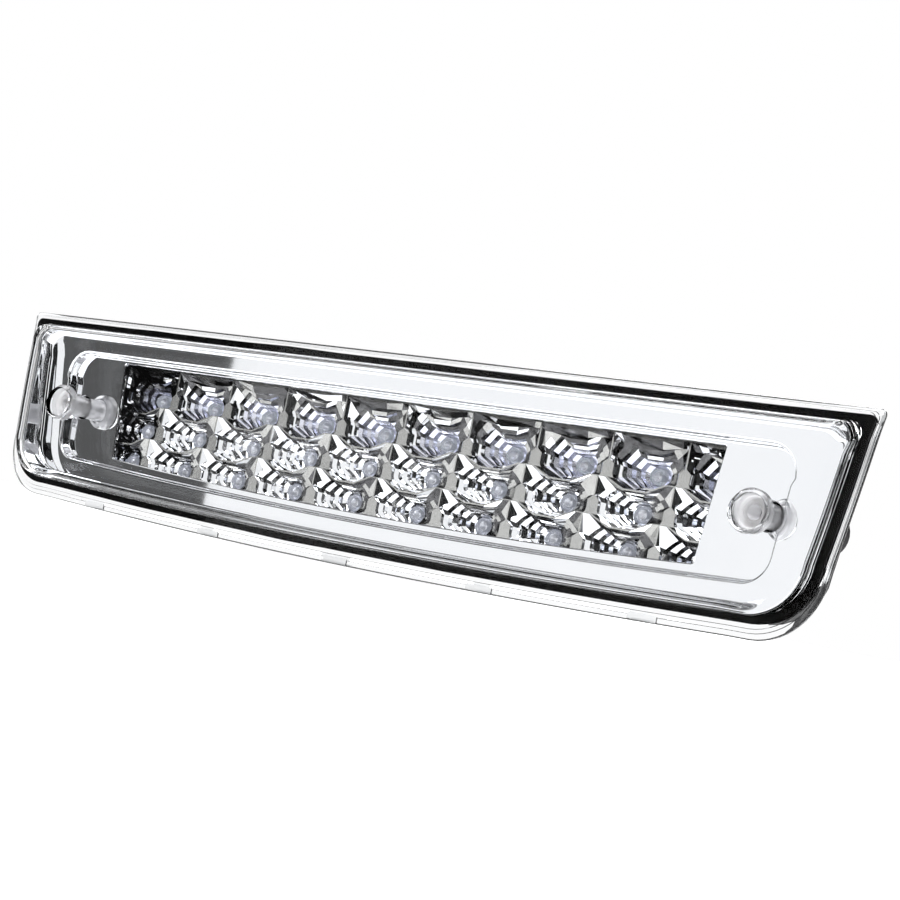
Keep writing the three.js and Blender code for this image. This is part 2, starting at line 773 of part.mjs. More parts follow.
function sealingRing(x) {
  const stations = [];
  const steps = 8;
  const centreRadius = (TUBE_RADIUS - 0.2 + SOCKET_RADIUS) / 2;
  for (let i = 0; i < steps; i += 1) {
    const angle = (2 * Math.PI * i) / steps;
    stations.push([
      centreRadius + RING_SECTION * Math.cos(angle),
      (POST_FRONT_Y + TUBE_END_Y) / 2 + RING_SECTION * Math.sin(angle),
    ]);
  }
  return frameLoft(stations.map(([radius, y]) => circle(x, bossZ, radius, y)));
}

function connectorShell() {
  const halfWidth = CONNECTOR_WIDTH / 2;
  const halfHeight = CONNECTOR_HEIGHT / 2;
  const across = (grow, y0, y1) => box(
    -halfWidth - grow,
    halfWidth + grow,
    y0,
    y1,
    connectorZ - halfHeight - grow,
    connectorZ + halfHeight + grow,
  );
  let body = across(0, housingInnerBackY, connectorBackY)
    .add(across(2.5, housingBackY + FIT_GAP / 4, housingBackY + 2))
    .subtract(across(-CONNECTOR_WALL, connectorFloorY, connectorBackY + OVERSHOOT));
  for (const side of [-1, 1]) {
    body = body.subtract(terminalBar(side, FIT_GAP / 4, OVERSHOOT));
  }
  const latch = box(
    -3,
    3,
    connectorFloorY + 3,
    connectorFloorY + 7,
    connectorZ + halfHeight - 0.4,
    connectorZ + halfHeight + 1.6,
  );
  return body.add(latch);
}

function terminalBar(side, grow, longer) {
  const x = (side * TERMINAL_SPACING) / 2;
  return box(
    x - TERMINAL_THICKNESS / 2 - grow,
    x + TERMINAL_THICKNESS / 2 + grow,
    housingInnerBackY - 1.4 - longer,
    terminalBackY + longer,
    connectorZ - TERMINAL_WIDTH / 2 - grow,
    connectorZ + TERMINAL_WIDTH / 2 + grow,
  );
}

function innerLead(side) {
  const x = (side * TERMINAL_SPACING) / 2 + side * 1.4;
  const y = boardBackY + 1.1;
  return tubeAlong([
    [side * 26, y, connectorZ + 6],
    [side * 20, y + 0.5, connectorZ + 3],
    [side * 12, y + 0.9, connectorZ],
    [x, y + 1.7, connectorZ],
  ], 0.8);
}

function ventCap() {
  const y = housingBackY + FIT_GAP / 4;
  const halfWay = housingBackY - 1.5;
  return turned(VENT_X, connectorZ, [
    [VENT_RADIUS * 0.45, halfWay],
    [VENT_RADIUS * 0.45, y],
    [VENT_RADIUS, y],
    [VENT_RADIUS, y + 1.6],
    [VENT_RADIUS - 0.8, y + 2.4],
  ]);
}

// ---------------------------------------------------------------- assembly

const finishes = {
  clearLens: { color: 0xf2f5f7, roughness: 0.05, transparent: true, opacity: 0.3 },
  sealant: { color: 0x0a0a0b, roughness: 0.6 },
  chrome: { color: 0xdfe2e6, metalness: 1, roughness: 0.08 },
  reflector: { color: 0xe4e6ea, metalness: 1, roughness: 0.05 },
  lampLens: { color: 0xc9cfe6, roughness: 0.1, transparent: true, opacity: 0.6 },
  board: { color: 0x1f5c34, roughness: 0.5 },
  steel: { color: 0xb9bcc1, metalness: 1, roughness: 0.3 },
  darkParts: { color: 0x1b1b1d, roughness: 0.5 },
  housing: { color: 0x151517, roughness: 0.55 },
  foam: { color: 0x242426, roughness: 0.95 },
  rubber: { color: 0x202022, roughness: 0.8 },
  brass: { color: 0xb9993f, metalness: 1, roughness: 0.3 },
  leadRed: { color: 0xa01818, roughness: 0.5 },
  leadBlack: { color: 0x141414, roughness: 0.5 },
};

const group = new THREE.Group();
group.name = 'third_brake_light';

// Adds one named body, moved so the origin is on the back face of the rear seal, at the
// middle of its top strip.
function addPart(name, solid, finish) {
  const mesh = solid.getMesh();
  const stride = mesh.numProp;
  const count = mesh.vertProperties.length / stride;
  const positions = new Float32Array(count * 3);
  for (let i = 0; i < count; i += 1) {
    positions[3 * i] = mesh.vertProperties[stride * i];
    positions[3 * i + 1] = mesh.vertProperties[stride * i + 1] - sealBackY;
    positions[3 * i + 2] = mesh.vertProperties[stride * i + 2] - sealTopZ;
  }
  const geometry = new THREE.BufferGeometry();
  geometry.setAttribute('position', new THREE.BufferAttribute(positions, 3));
  geometry.setIndex(new THREE.BufferAttribute(Uint32Array.from(mesh.triVerts), 1));
  geometry.computeVertexNormals();
  const part = new THREE.Mesh(geometry, new THREE.MeshStandardMaterial(finishes[finish]));
  part.name = name;
  group.add(part);
}

addPart('lens', lens(), 'clearLens');
addPart('screw_boss_left', screwBoss(-bossX), 'clearLens');
addPart('screw_boss_right', screwBoss(bossX), 'clearLens');
addPart('sealant_bead', sealantBead(), 'sealant');
addPart('bezel', bezel(), 'chrome');
addPart('reflector_array', reflectorArray(), 'reflector');
for (const centre of lampCentres()) {
  addPart(`lamp_${centre.row + 1}_${centre.column + 1}`, lamp(centre), 'lampLens');
}
addPart('circuit_board', circuitBoard(), 'board');
boardScrewPlaces.forEach((place, i) => addPart(`board_screw_${i + 1}`, boardScrew(place), 'steel'));
[-96, -72, 72, 96].forEach((x, i) => {
  addPart(`resistor_${i + 1}`, chip(x, -6, 6.4, 3.2, 1.2), 'darkParts');
});
addPart('diode', chip(46, -16, 5.2, 3.6, 2.2), 'darkParts');
addPart('capacitor', capacitor(), 'steel');
addPart('lead_positive', innerLead(1), 'leadRed');
addPart('lead_negative', innerLead(-1), 'leadBlack');
addPart('housing', housing(), 'housing');
addPart('rear_seal', rearSeal(), 'foam');
addPart('boss_seal_left', sealingRing(-bossX), 'rubber');
addPart('boss_seal_right', sealingRing(bossX), 'rubber');
addPart('connector_shell', connectorShell(), 'darkParts');
addPart('terminal_positive', terminalBar(1, 0, 0), 'brass');
addPart('terminal_negative', terminalBar(-1, 0, 0), 'brass');
addPart('vent_cap', ventCap(), 'rubber');

export default group;
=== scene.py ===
import math
import random

import bmesh
import bpy
from mathutils import Matrix, Vector


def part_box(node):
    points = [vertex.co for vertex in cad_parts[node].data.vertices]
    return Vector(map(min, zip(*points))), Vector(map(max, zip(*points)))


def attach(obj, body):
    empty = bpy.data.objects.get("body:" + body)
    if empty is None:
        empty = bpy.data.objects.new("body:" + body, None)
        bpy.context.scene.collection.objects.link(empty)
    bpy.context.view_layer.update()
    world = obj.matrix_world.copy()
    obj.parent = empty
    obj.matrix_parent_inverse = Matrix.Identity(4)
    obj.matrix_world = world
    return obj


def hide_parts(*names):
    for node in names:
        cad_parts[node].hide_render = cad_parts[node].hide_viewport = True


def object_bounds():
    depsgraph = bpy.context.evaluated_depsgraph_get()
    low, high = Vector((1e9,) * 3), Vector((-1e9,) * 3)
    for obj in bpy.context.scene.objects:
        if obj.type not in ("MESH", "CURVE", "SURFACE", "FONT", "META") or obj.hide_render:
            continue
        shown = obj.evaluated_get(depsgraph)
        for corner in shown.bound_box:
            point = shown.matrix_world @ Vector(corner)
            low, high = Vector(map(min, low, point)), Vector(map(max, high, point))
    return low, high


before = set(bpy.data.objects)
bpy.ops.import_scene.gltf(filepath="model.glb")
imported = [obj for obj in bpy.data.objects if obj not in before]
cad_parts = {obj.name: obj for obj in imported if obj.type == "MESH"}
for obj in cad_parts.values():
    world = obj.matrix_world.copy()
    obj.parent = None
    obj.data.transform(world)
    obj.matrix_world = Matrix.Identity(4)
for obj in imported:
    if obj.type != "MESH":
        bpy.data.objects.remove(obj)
cad_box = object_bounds()

MM = 0.001


# ------------------------------------------------------------------ camera

def make_camera():
    """Three-quarter view from the lamp's right end, slightly from below and rolled."""
    right = Vector((0.75832, 0.62131, 0.19729))
    up = Vector((-0.11554, -0.16975, 0.97869))
    back = right.cross(up)
    data = bpy.data.cameras.new("camera")
    data.lens = 82.0
    data.sensor_width = 36.0
    data.clip_start = 0.01
    camera = bpy.data.objects.new("camera", data)
    bpy.context.scene.collection.objects.link(camera)
    matrix = Matrix((right, up, back)).transposed().to_4x4()
    matrix.translation = Vector((0.43164, -0.48341, -0.05768))
    camera.matrix_world = matrix
    bpy.context.scene.camera = camera


make_camera()

# ------------------------------------------------------------------ sizes, in millimetres

lens_low, lens_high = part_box("lens")
boss_low, boss_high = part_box("screw_boss_right")
reflector_low, reflector_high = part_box("reflector_array")
board_low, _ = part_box("circuit_board")

HALF_WIDTH = lens_high.x / MM
TOP = lens_high.z / MM
BOTTOM = lens_low.z / MM
BOSS_X = (boss_low.x + boss_high.x) / 2 / MM
BOSS_Z = (boss_low.z + boss_high.z) / 2 / MM
BOSS_FRONT = boss_low.y / MM
TUBE_END = boss_high.y / MM
REFLECTOR_HALF = reflector_high.x / MM
REFLECTOR_TOP = reflector_high.z / MM
REFLECTOR_BOTTOM = reflector_low.z / MM
BOARD_FRONT = board_low.y / MM

POCKET_DEPTH = 3.6
FLANGE_THICKNESS = 2.6
BEZEL_HEIGHT = 6.8
CUP_SEAT = BOSS_FRONT + 3.85
POCKET_FLOOR = BOSS_FRONT + 13.35
BEZEL_FLOOR = POCKET_FLOOR - POCKET_DEPTH
# The lens, its flange and the bezel rim come forward towards the bottom by this much per
# millimetre; their depths below are those at the top edge.
FACE_TILT = 0.065
# Keeps the front of the lens just inside the CAD box.
LENS_SETBACK = 0.06
LENS_FRONT = BOSS_FRONT + FACE_TILT * (TOP - BOSS_Z) + LENS_SETBACK
FLANGE_BACK = BEZEL_FLOOR
FLANGE_FRONT = FLANGE_BACK - FLANGE_THICKNESS
BEZEL_RIM = POCKET_FLOOR - BEZEL_HEIGHT

SIDE_LEAN = 0.138
SIDE_BULGE = 0.5
CORNER_RADIUS = 20.0
BOTTOM_RISE = 3.98
EDGE_SHARE = 0.5
# The bead's two edges, as insets from the lens outline at the side, the top and the bottom.
BAND_OUT = (1.9, 2.2, 4.3)
BAND_IN = (5.7, 4.1, 6.2)
WINDOW_HALF = BOSS_X - 17.75
WINDOW_TOP = TOP - 14.5
WINDOW_END_BOTTOM = BOTTOM + 20.3
WINDOW_RISE = 3.34
WINDOW_LEAN = 0.106
WINDOW_RADIUS = 0.8
POCKET_HALF = BOSS_X + 6.65
POCKET_TOP = TOP - 13.2
POCKET_END_BOTTOM = BOTTOM + 18.3
POCKET_RISE = 0.8 * WINDOW_RISE
POCKET_LEAN = 0.09
POCKET_RADIUS = 8.0
# How far the lower corners of the pocket and window sit in from the top ones.
CORNER_SETBACK = 3
NOTCH_RADIUS = 6.5
CUP_RADIUS = 6.2
TUBE_RADIUS = 3.8
TUBE_CLEARANCE = 0.4

PAD_CENTRES = (-116, -58, 0, 58, 116)
PAD_HALF_WIDTH = 4.85
PAD_BOTTOM = 0.3
PAD_TOP = 2.2

ROWS = 3
COLUMNS = 10
LAMP_TIP_DEPTH = 4.5
LAMP_RADIUS = 2.5
LAMP_LENGTH = 7
LEG_OFFSET = 1.27
LEG_HALF = 0.25


# ------------------------------------------------------------------ mesh helpers

def apply_modifiers(obj):
    depsgraph = bpy.context.evaluated_depsgraph_get()
    mesh = bpy.data.meshes.new_from_object(obj.evaluated_get(depsgraph))
    obj.modifiers.clear()
    old = obj.data
    obj.data = mesh
    bpy.data.meshes.remove(old)
    return obj


def finish_object(obj, angle=32.0):
    """Smooth shading, with edges sharper than the angle left sharp."""
    mesh = obj.data
    mesh.shade_smooth()
    mesh.set_sharp_from_angle(angle=math.radians(angle))
    modifier = obj.modifiers.new("flat_faces", "WEIGHTED_NORMAL")
    modifier.mode = "FACE_AREA"
    modifier.weight = 80
    modifier.keep_sharp = True
    return apply_modifiers(obj)


def new_object(name, points, faces):
    """Points are in millimetres in the row frame."""
    mesh = bpy.data.meshes.new(name)
    mesh.from_pydata([[c * MM for c in p] for p in points], [], faces)
    mesh.update()
    bm = bmesh.new()
    bm.from_mesh(mesh)
    bmesh.ops.recalc_face_normals(bm, faces=bm.faces)
    bm.to_mesh(mesh)
    bm.free()
    obj = bpy.data.objects.new(name, mesh)
    bpy.context.scene.collection.objects.link(obj)
    return obj


def ring_faces(rings, count, looped):
    """Quads between neighbouring rings of count points each."""
    faces = []
    last = rings if looped else rings - 1
    for k in range(last):
        a = k * count
        b = ((k + 1) % rings) * count
        for i in range(count):
            j = (i + 1) % count
            faces.append((a + i, a + j, b + j, b + i))
    return faces


def loft(name, rings, looped=False):
    """Skin over rings of points; looped joins the last ring to the first, else both are capped."""
    count = len(rings[0])
    faces = ring_faces(len(rings), count, looped)
    if not looped:
        faces.append(tuple(reversed(range(count))))
        faces.append(tuple(range((len(rings) - 1) * count, len(rings) * count)))
    return new_object(name, [p for ring in rings for p in ring], faces)


def boolean(target, other, operation):
    """Cuts other from the target or joins it on, and deletes other."""
    modifier = target.modifiers.new("cut", "BOOLEAN")
    modifier.operation = operation
    modifier.object = other
    modifier.solver = "MANIFOLD"
    apply_modifiers(target)
    bpy.data.objects.remove(other)
    return target


def circle(x, z, radius, y, count):
    return [
        (x + radius * math.cos(2 * math.pi * i / count), y,
         z + radius * math.sin(2 * math.pi * i / count))
        for i in range(count)
    ]


def turned(name, x, z, stations, count=64):
    """Round solid about an axis along Y; stations are (radius, y)."""
    return loft(name, [circle(x, z, r, y, count) for r, y in stations])


def block(name, low, high, bevel=0.0):
    """Box between two corners, with rounded edges where bevel is given."""
    x0, y0, z0 = low
    x1, y1, z1 = high
    points = [(x0, y0, z0), (x1, y0, z0), (x1, y1, z0), (x0, y1, z0),
              (x0, y0, z1), (x1, y0, z1), (x1, y1, z1), (x0, y1, z1)]
    faces = [(0, 1, 2, 3), (4, 7, 6, 5), (0, 4, 5, 1), (1, 5, 6, 2), (2, 6, 7, 3), (3, 7, 4, 0)]
    obj = new_object(name, points, faces)
    if bevel:
        bevel_object(obj, bevel)
    return obj


def bevel_object(obj, width):
    modifier = obj.modifiers.new("bevel", "BEVEL")
    modifier.width = width * MM
    modifier.segments = 3
    modifier.limit_method = "ANGLE"
    modifier.angle_limit = math.radians(35.0)
    apply_modifiers(obj)


def smooth_stations(stations, steps=6):
    """Catmull-Rom through the stations, which are tuples of numbers."""
    result = []
    last = len(stations) - 1
    for k in range(last):
        p0 = stations[max(k - 1, 0)]
        p1 = stations[k]
        p2 = stations[k + 1]
        p3 = stations[min(k + 2, last)]
        for i in range(steps):
            t = i / steps
            result.append(tuple(
                0.5 * (2 * b + (c - a) * t + (2 * a - 5 * b + 4 * c - d) * t * t
                       + (3 * b - a - 3 * c + d) * t * t * t)
                for a, b, c, d in zip(p0, p1, p2, p3)
            ))
    result.append(stations[-1])
    return result


# ------------------------------------------------------------------ outlines

def arc(cx, cz, radius, start, end, steps):
    """Points (x, z) on an arc, with both ends."""
    return [
        (cx + radius * math.cos(start + (end - start) * i / steps),
         cz + radius * math.sin(start + (end - start) * i / steps))
        for i in range(steps + 1)
    ]


def wide_outline(y, top, end, half_top, lean, bulge, rise_at, top_radius, radius, bottom):
    """Straight top, leaning and slightly bowed ends, round lower corners, arched bottom."""
    def side(z):
        return half_top - lean * (top - z) + bulge * math.sin(math.pi * (top - z) / (top - end))

    right = [(half_top * i / 8, top) for i in range(1, 8)]
    right += arc(half_top - top_radius, top - top_radius, top_radius, math.pi / 2, 0, 6)
    corner_z = end + radius
    for i in range(1, 10):
        z = top - top_radius + (corner_z - top + top_radius) * i / 10
        right.append((side(z), z))
    corner_x = side(corner_z) - radius
    right += arc(corner_x, corner_z, radius, 0, -math.pi / 2 + 0.05, 14)
    for i in range(1, 24):
        x = corner_x * (1 - i / 24)
        right.append((x, bottom + rise_at(x)))
    left = [(-x, z) for x, z in reversed(right)]
    return [(x, y, z) for x, z in right + [(0.0, bottom)] + left + [(0.0, top)]]


def tilt(points, share):
    """Leans points on to the tilted face; share 0 leaves them upright."""
    return [(x, y - share * FACE_TILT * (TOP - z), z) for x, y, z in points]


def outline(side, top, bottom, y, share=1.0):
    """The lamp's outline, moved in by side, top and bottom insets, on the tilted face."""
    half_top = HALF_WIDTH - side
    arch = BOTTOM_RISE / HALF_WIDTH ** 2
    radius = max(CORNER_RADIUS - 0.6 * side, 3.0)
    corner_x = half_top - SIDE_LEAN * (TOP - BOTTOM) - radius
    centre = BOTTOM + bottom
    return tilt(wide_outline(
        y, TOP - top, centre + arch * corner_x ** 2, half_top, SIDE_LEAN, SIDE_BULGE,
        lambda x: arch * x * x, 1.6 + 0.35 * side, radius, centre), share)


def inside(extra, y, share=1.0):
    """Outline that lies extra millimetres inside the bead's inner edge."""
    side, top, bottom = BAND_IN
    return outline(side + extra, top + EDGE_SHARE * extra, bottom + EDGE_SHARE * extra, y, share)


def pocket_outline(grow, y):
    half_top = POCKET_HALF + grow
    end = POCKET_END_BOTTOM - grow
    arch = POCKET_RISE / WINDOW_HALF ** 2
    corner_x = half_top - POCKET_RADIUS - CORNER_SETBACK
    bottom = end - arch * corner_x ** 2
    return wide_outline(
        y, POCKET_TOP + grow, end, half_top, POCKET_LEAN, 0.0,
        lambda x: arch * x * x, POCKET_RADIUS + grow, POCKET_RADIUS + grow, bottom)


def window_outline(grow, y):
    half_top = WINDOW_HALF + grow
    end = WINDOW_END_BOTTOM - grow
    arch = WINDOW_RISE / WINDOW_HALF ** 2
    corner_x = half_top - WINDOW_RADIUS - CORNER_SETBACK
    bottom = end - arch * corner_x ** 2
    return wide_outline(
        y, WINDOW_TOP + grow, end, half_top, WINDOW_LEAN, 0.0,
        lambda x: arch * x * x, WINDOW_RADIUS, WINDOW_RADIUS, bottom)


# ------------------------------------------------------------------ materials

def material(name):
    mat = bpy.data.materials.new(name)
    mat.use_nodes = True
    nodes = mat.node_tree.nodes
    shader = nodes["Principled BSDF"]
    return mat, nodes, mat.node_tree.links, shader


def set_inputs(node, **values):
    for key, value in values.items():
        node.inputs[key.replace("_", " ")].default_value = value


def noise(nodes, links, scale, detail):
    coords = nodes.new("ShaderNodeTexCoord")
    texture = nodes.new("ShaderNodeTexNoise")
    texture.inputs["Scale"].default_value = scale
    texture.inputs["Detail"].default_value = detail
    texture.inputs["Roughness"].default_value = 0.55
    links.new(coords.outputs["Object"], texture.inputs["Vector"])
    return texture


def ramp(nodes, links, source, stops):
    """Colour ramp; stops are (position, (red, green, blue))."""
    node = nodes.new("ShaderNodeValToRGB")
    elements = node.color_ramp.elements
    while len(elements) < len(stops):
        elements.new(0.5)
    for element, (position, colour) in zip(elements, stops):
        element.position = position
        element.color = (*colour, 1.0)
    links.new(source, node.inputs["Fac"])
    return node


def to_range(nodes, links, source, low, high):
    node = nodes.new("ShaderNodeMapRange")
    node.inputs["To Min"].default_value = low
    node.inputs["To Max"].default_value = high
    links.new(source, node.inputs["Value"])
    return node.outputs["Result"]


def bump(nodes, links, shader, source, strength, distance):
    node = nodes.new("ShaderNodeBump")
    node.inputs["Strength"].default_value = strength
    node.inputs["Distance"].default_value = distance
    links.new(source, node.inputs["Height"])
    links.new(node.outputs["Normal"], shader.inputs["Normal"])


def plastic(name, dark, light, scale, rough, depth, specular=0.5):
    """Moulded plastic or rubber with a fine grain."""
    mat, nodes, links, shader = material(name)
    broad = noise(nodes, links, scale * 0.06, 3.0)
    colour = ramp(nodes, links, broad.outputs["Fac"], [(0.3, dark), (0.75, light)])
    links.new(colour.outputs["Color"], shader.inputs["Base Color"])
    links.new(to_range(nodes, links, broad.outputs["Fac"], *rough), shader.inputs["Roughness"])
    grain = noise(nodes, links, scale, 5.0)
    bump(nodes, links, shader, grain.outputs["Fac"], 0.35, depth)
    set_inputs(shader, Specular_IOR_Level=specular)
    return mat


def metal(name, colour, rough, scale, depth, second):
    """Bright metal that wanders between two colours, with a faint unevenness."""
    mat, nodes, links, shader = material(name)
    texture = noise(nodes, links, scale, 3.0)
    tint = ramp(nodes, links, texture.outputs["Fac"], [(0.25, colour), (0.8, second)])
    links.new(tint.outputs["Color"], shader.inputs["Base Color"])
    links.new(to_range(nodes, links, texture.outputs["Fac"], *rough), shader.inputs["Roughness"])
    set_inputs(shader, Metallic=1.0)
    bump(nodes, links, shader, texture.outputs["Fac"], 0.3, depth)
    return mat


def clear_plastic(name, tint, rough, ior, scale=90.0, clarity=1.0, gloss=0.32, shine=1.0):
    """Clear or milky plastic; shine scales its mirror reflection."""
    mat, nodes, links, shader = material(name)
    texture = noise(nodes, links, scale, 2.0)
    links.new(to_range(nodes, links, texture.outputs["Fac"], *rough), shader.inputs["Roughness"])
    set_inputs(shader, Base_Color=(*tint, 1.0), Transmission_Weight=clarity, IOR=ior,
               Specular_IOR_Level=gloss, Specular_Tint=(shine, shine, shine, 1.0))
    return mat


def make_materials():
    mats = {
        "lens": clear_plastic("clear_polycarbonate", (0.98, 0.985, 0.99), (0.0, 0.012), 1.36,
                              gloss=0.14, shine=0.1),
        "frost": clear_plastic("frosted_polycarbonate", (0.62, 0.63, 0.64), (0.3, 0.45), 1.36, 900,
                               shine=0.3),
        "boss": clear_plastic("milky_polycarbonate", (0.98, 0.975, 0.99), (0.05, 0.15), 1.4, 300,
                              0.6),
        "epoxy": clear_plastic("clear_epoxy_painted_glow", (0.93, 0.95, 1.0), (0.0, 0.03), 1.38, 300, 0.9),
        # Dark-tinted clear plastic: painted shade along the flange's edges and side faces.
        "edge": clear_plastic("painted_shade_edge", (0.3, 0.31, 0.32), (0.1, 0.25), 1.36, 300,
                              shine=0.5),
        "chrome": metal("metallised_chrome", (0.93, 0.935, 0.95), (0.01, 0.035), 35.0, 0.000012,
                        (0.90, 0.91, 0.93)),
        "facets": metal("metallised_facets", (0.92, 0.925, 0.94), (0.01, 0.04), 220.0, 0.00002,
                        (0.86, 0.87, 0.89)),
        # Mid-grey copy of the chrome: a painted grey reflection on the flat fronts and on some
        # facets.
        "painted_grey_reflection": metal("metallised_painted_grey_reflection", (0.50, 0.50, 0.485), (0.16, 0.28), 240.0, 0.00002,
                       (0.44, 0.44, 0.43)),
        # Blue-tinted copy of the chrome: a painted reflection of something bluish round the top
        # row's lamps.
        "painted_blue_reflection": metal("metallised_painted_blue_reflection", (0.74, 0.75, 0.85), (0.12, 0.3), 260.0, 0.00003,
                      (0.87, 0.88, 0.94)),
        # Near-black copy of the chrome: a painted dark reflection on facets that face down or left
        # or sit high up.
        "painted_dark_reflection": metal("metallised_painted_dark_reflection", (0.05, 0.05, 0.052), (0.04, 0.12), 300.0, 0.00003,
                       (0.16, 0.16, 0.165)),
        "sealant": plastic("black_sealant", (0.001, 0.001, 0.001), (0.003, 0.003, 0.003),
                           600.0, (0.45, 0.7), 0.0001, 0.04),
        "housing": plastic("housing_abs", (0.008, 0.008, 0.0085), (0.014, 0.014, 0.015),
                           1500.0, (0.42, 0.6), 0.00006, 0.2),
        "foam": plastic("seal_foam", (0.02, 0.02, 0.021), (0.045, 0.045, 0.047),
                        2200.0, (0.85, 1.0), 0.0005, 0.2),
        "rubber": plastic("moulded_rubber", (0.016, 0.016, 0.017), (0.03, 0.03, 0.031),
                          1200.0, (0.6, 0.8), 0.00008, 0.35),
        "dark": plastic("glass_filled_nylon", (0.02, 0.02, 0.021), (0.036, 0.036, 0.038),
                        1800.0, (0.38, 0.55), 0.00008),
        "board": plastic("solder_mask", (0.01, 0.09, 0.03), (0.02, 0.14, 0.05),
                         700.0, (0.25, 0.4), 0.00002),
        "steel": metal("zinc_plate", (0.62, 0.63, 0.66), (0.22, 0.42), 500.0, 0.00003,
                       (0.72, 0.71, 0.68)),
        "brass": metal("tinned_brass", (0.75, 0.66, 0.42), (0.2, 0.38), 700.0, 0.00002,
                       (0.78, 0.74, 0.62)),
        "lead_red": plastic("red_insulation", (0.30, 0.012, 0.01), (0.42, 0.02, 0.016),
                            500.0, (0.3, 0.45), 0.00004),
        "lead_black": plastic("black_insulation", (0.012, 0.012, 0.012), (0.03, 0.03, 0.03),
                              500.0, (0.3, 0.45), 0.00004),
    }
    # A faint emission makes the unlit lamp domes glow: painted light.
    set_inputs(mats["epoxy"].node_tree.nodes["Principled BSDF"],
               Emission_Color=(0.8, 0.83, 0.95, 1.0), Emission_Strength=0.12)
    return mats


MATS = make_materials()


def add_piece(obj, mats, slot, *nodes):
    """Gives the piece its materials by name and its body, and hides the nodes that it replaces;
    slot is not used.
    """
    obj.data.materials.clear()
    for mat in mats:
        obj.data.materials.append(MATS[mat])
    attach(obj, "root")
    if nodes:
        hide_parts(*nodes)


# ------------------------------------------------------------------ lens

def lens_solid():
    """The hollow front and its flange, with the groove for the bead cut in the back."""
    front = LENS_FRONT
    wall = smooth_stations([
        (0.0, FLANGE_FRONT), (0.45, FLANGE_FRONT - 0.7), (1.2, front + 2.4),
        (2.0, front + 0.9), (3.4, front + 0.15), (5.6, front)], 5)
    # Insets of the flange at the side, the top and the bottom, and the depth, from back to front.
    flange = [
        (0.8, 0.8, 0.8, FLANGE_BACK), (0.25, 0.25, 0.25, FLANGE_BACK - 0.2),
        (0, 0, 0, FLANGE_BACK - 0.7), (0, 0, 0, FLANGE_FRONT + 1.2),
        (0.25, 0.25, 0.25, FLANGE_FRONT + 0.75), (0.7, 0.6, 0.8, FLANGE_FRONT + 0.5),
        (1.1, 0.9, 1.7, FLANGE_FRONT + 0.5), (1.2, 1.0, 1.85, FLANGE_FRONT + 0.25),
        (1.9, 1.3, 2.9, FLANGE_FRONT + 0.25), (2.0, 1.4, 3.05, FLANGE_FRONT),
    ]
    rings = [outline(*step) for step in flange] + [inside(e, y) for e, y in wall[1:]]
    body = loft("lens_moulding", rings)
    skin = 2.2
    hollow = smooth_stations([
        (1.9, FLANGE_FRONT), (2.7, front + skin + 1.3), (4.2, front + skin + 0.25),
        (6.2, front + skin)], 5)
    inner = loft("inner", [inside(1.9, FLANGE_BACK + 1)] + [inside(e, y) for e, y in hollow])
    boolean(body, inner, "DIFFERENCE")
    groove_floor = FLANGE_BACK - 1.3
    groove = loft("groove", [
        outline(*BAND_OUT, groove_floor), outline(*BAND_OUT, FLANGE_BACK + 1),
        inside(0, FLANGE_BACK + 1), inside(0, groove_floor)], True)
    return boolean(body, groove, "DIFFERENCE")


def bottom_edge(x):
    return BOTTOM + BOTTOM_RISE * (x / HALF_WIDTH) ** 2


def grip_pad(x):
    z = bottom_edge(x)
    front = FLANGE_FRONT - FACE_TILT * (TOP - z - PAD_TOP)
    low = (x - PAD_HALF_WIDTH, front - 0.1, z + PAD_BOTTOM)
    high = (x + PAD_HALF_WIDTH, front + 0.9, z + PAD_TOP)
    return block("pad", low, high, 0.08)


def within(ring, x, z):
    """Whether the point is inside the closed outline, seen from the front."""
    count = 0
    for (x0, _, z0), (x1, _, z1) in zip(ring, ring[1:] + ring[:1]):
        if (z0 > z) != (z1 > z) and x < x0 + (x1 - x0) * (z - z0) / (z1 - z0):
            count += 1
    return count % 2 == 1


def add_boss(body, x):
    """Screw cup and tube, in one with the lens."""
    outer = turned("boss", x, BOSS_Z, smooth_stations([
        (CUP_RADIUS, BOSS_FRONT + 1.0), (CUP_RADIUS, CUP_SEAT + 1.0),
        (TUBE_RADIUS + 0.9, CUP_SEAT + 2.2), (TUBE_RADIUS, CUP_SEAT + 3.4),
        (TUBE_RADIUS - 0.2, TUBE_END)], 4))
    boolean(body, outer, "UNION")
    mouth = turned("mouth", x, BOSS_Z, [
        (6.0, BOSS_FRONT - 1), (5.75, BOSS_FRONT), (5.4, BOSS_FRONT + 0.35),
        (5.2, BOSS_FRONT + 0.9), (4.75, CUP_SEAT - 0.6), (4.5, CUP_SEAT - 0.15),
        (4.1, CUP_SEAT)])
    boolean(body, mouth, "DIFFERENCE")
    hole = turned("hole", x, BOSS_Z, [
        (2.9, CUP_SEAT - 1), (2.9, CUP_SEAT), (2.2, CUP_SEAT + 0.7), (2.2, TUBE_END + 1)])
    boolean(body, hole, "DIFFERENCE")


